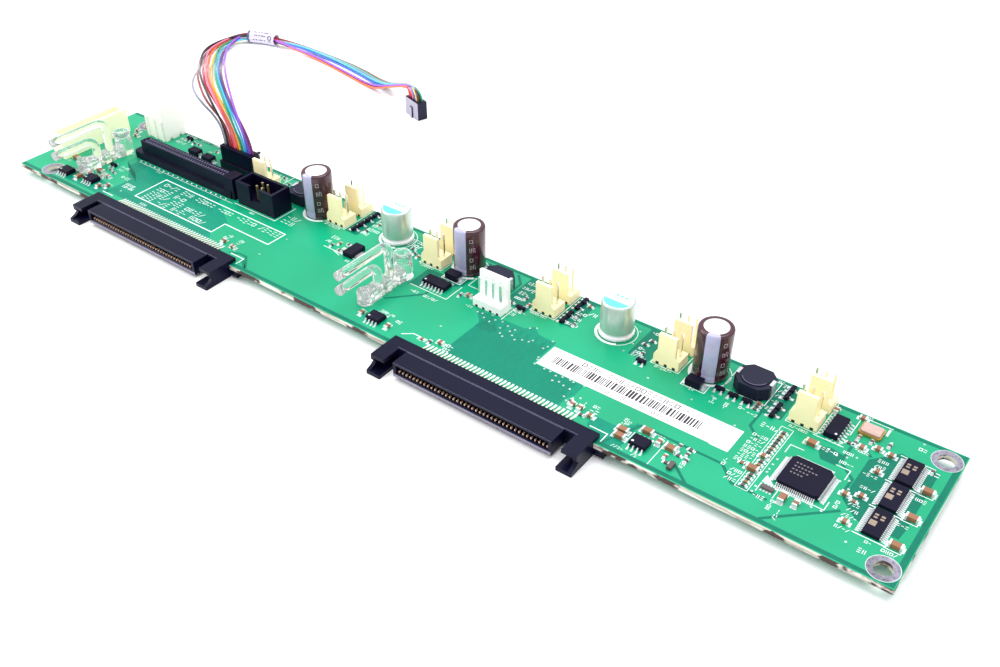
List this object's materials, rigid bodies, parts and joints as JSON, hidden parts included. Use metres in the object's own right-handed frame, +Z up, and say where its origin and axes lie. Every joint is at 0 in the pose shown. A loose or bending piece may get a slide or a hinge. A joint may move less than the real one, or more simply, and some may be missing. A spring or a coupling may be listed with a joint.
{
  "type": "drive backplane board",
  "caption": "Long circuit board with slotted drive connectors on its front edge, fan and power headers, light pipes, and a loose wire cable plugged in at the back.",
  "frame": {"origin": "middle of the board's box, without the cable, on the surface that it lies on", "axes": "+X along the board's length, from the power header end to the controller end; +Y from the drive side to the rear edge; +Z up out of the populated face"},
  "size_m": [0.3563, 0.1519, 0.0343],
  "materials": {
    "solder_mask": "green solder mask over woven glass laminate",
    "black_plastic": "moulded black plastic",
    "plated_pins": "plated contacts and pins",
    "tinned_metal": "tinned leads and solder",
    "cream_plastic": "moulded cream plastic",
    "yellow_plastic": "moulded pale yellow plastic",
    "white_plastic": "moulded white plastic",
    "clear_plastic": "clear moulded plastic",
    "led_body": "small lamp bodies",
    "brown_sleeve": "brown shrink sleeve with a pale stripe",
    "can_metal": "bare aluminium can",
    "ferrite": "dark shielded core",
    "chip_plastic": "moulded package",
    "oscillator_metal": "gold plated lid on a ceramic base",
    "chip_ceramic": "tan ceramic with tinned ends",
    "label_paper": "white paper label",
    "wire_insulation": "twelve thin insulated wires in as many colours",
    "sleeve_white": "white shrink tube"
  },
  "bodies": {
    "root": {"box_header": "black_plastic", "bus_driver_1": "chip_plastic", "bus_driver_2": "chip_plastic", "bus_driver_3": "chip_plastic", "cable_far_plug": "black_plastic", "cable_sleeve": "sleeve_white", "cable_wires": "wire_insulation", "chip_capacitors": "chip_ceramic", "circuit_board": "solder_mask", "controller_body": "chip_plastic", "diode_bodies": "chip_plastic", "diode_ends": "tinned_metal", "drive_connector_left": "black_plastic", "drive_connector_right": "black_plastic", "drive_contacts_left": "plated_pins", "drive_contacts_right": "plated_pins", "drive_leads_left": "tinned_metal", "drive_leads_right": "tinned_metal", "electrolytic_can_1": "brown_sleeve", "electrolytic_can_2": "brown_sleeve", "electrolytic_can_3": "brown_sleeve", "fan_header_01": "cream_plastic", "fan_header_02": "cream_plastic", "fan_header_03": "cream_plastic", "fan_header_04": "cream_plastic", "fan_header_05": "cream_plastic", "fan_header_06": "cream_plastic", "fan_header_07": "cream_plastic", "fan_header_08": "cream_plastic", "fan_header_09": "cream_plastic", "fan_header_10": "cream_plastic", "fan_header_11": "cream_plastic", "fan_pins": "plated_pins", "indicator_leds": "led_body", "inductor_1": "ferrite", "inductor_2": "ferrite", "inductor_3": "ferrite", "inductor_clips": "tinned_metal", "light_pipe_left": "clear_plastic", "light_pipe_right": "clear_plastic", "logic_bodies": "chip_plastic", "long_connector": "black_plastic", "oscillator": "oscillator_metal", "paper_label": "label_paper", "polymer_can_1": "can_metal", "polymer_can_2": "can_metal", "power_pins": "plated_pins", "regulator_body": "chip_plastic", "signal_pins": "plated_pins", "transistor_bodies": "chip_plastic", "white_header": "white_plastic", "white_power_header": "white_plastic", "wire_header": "black_plastic", "wire_plug": "black_plastic", "yellow_power_header": "yellow_plastic"}
  },
  "joints": []
}
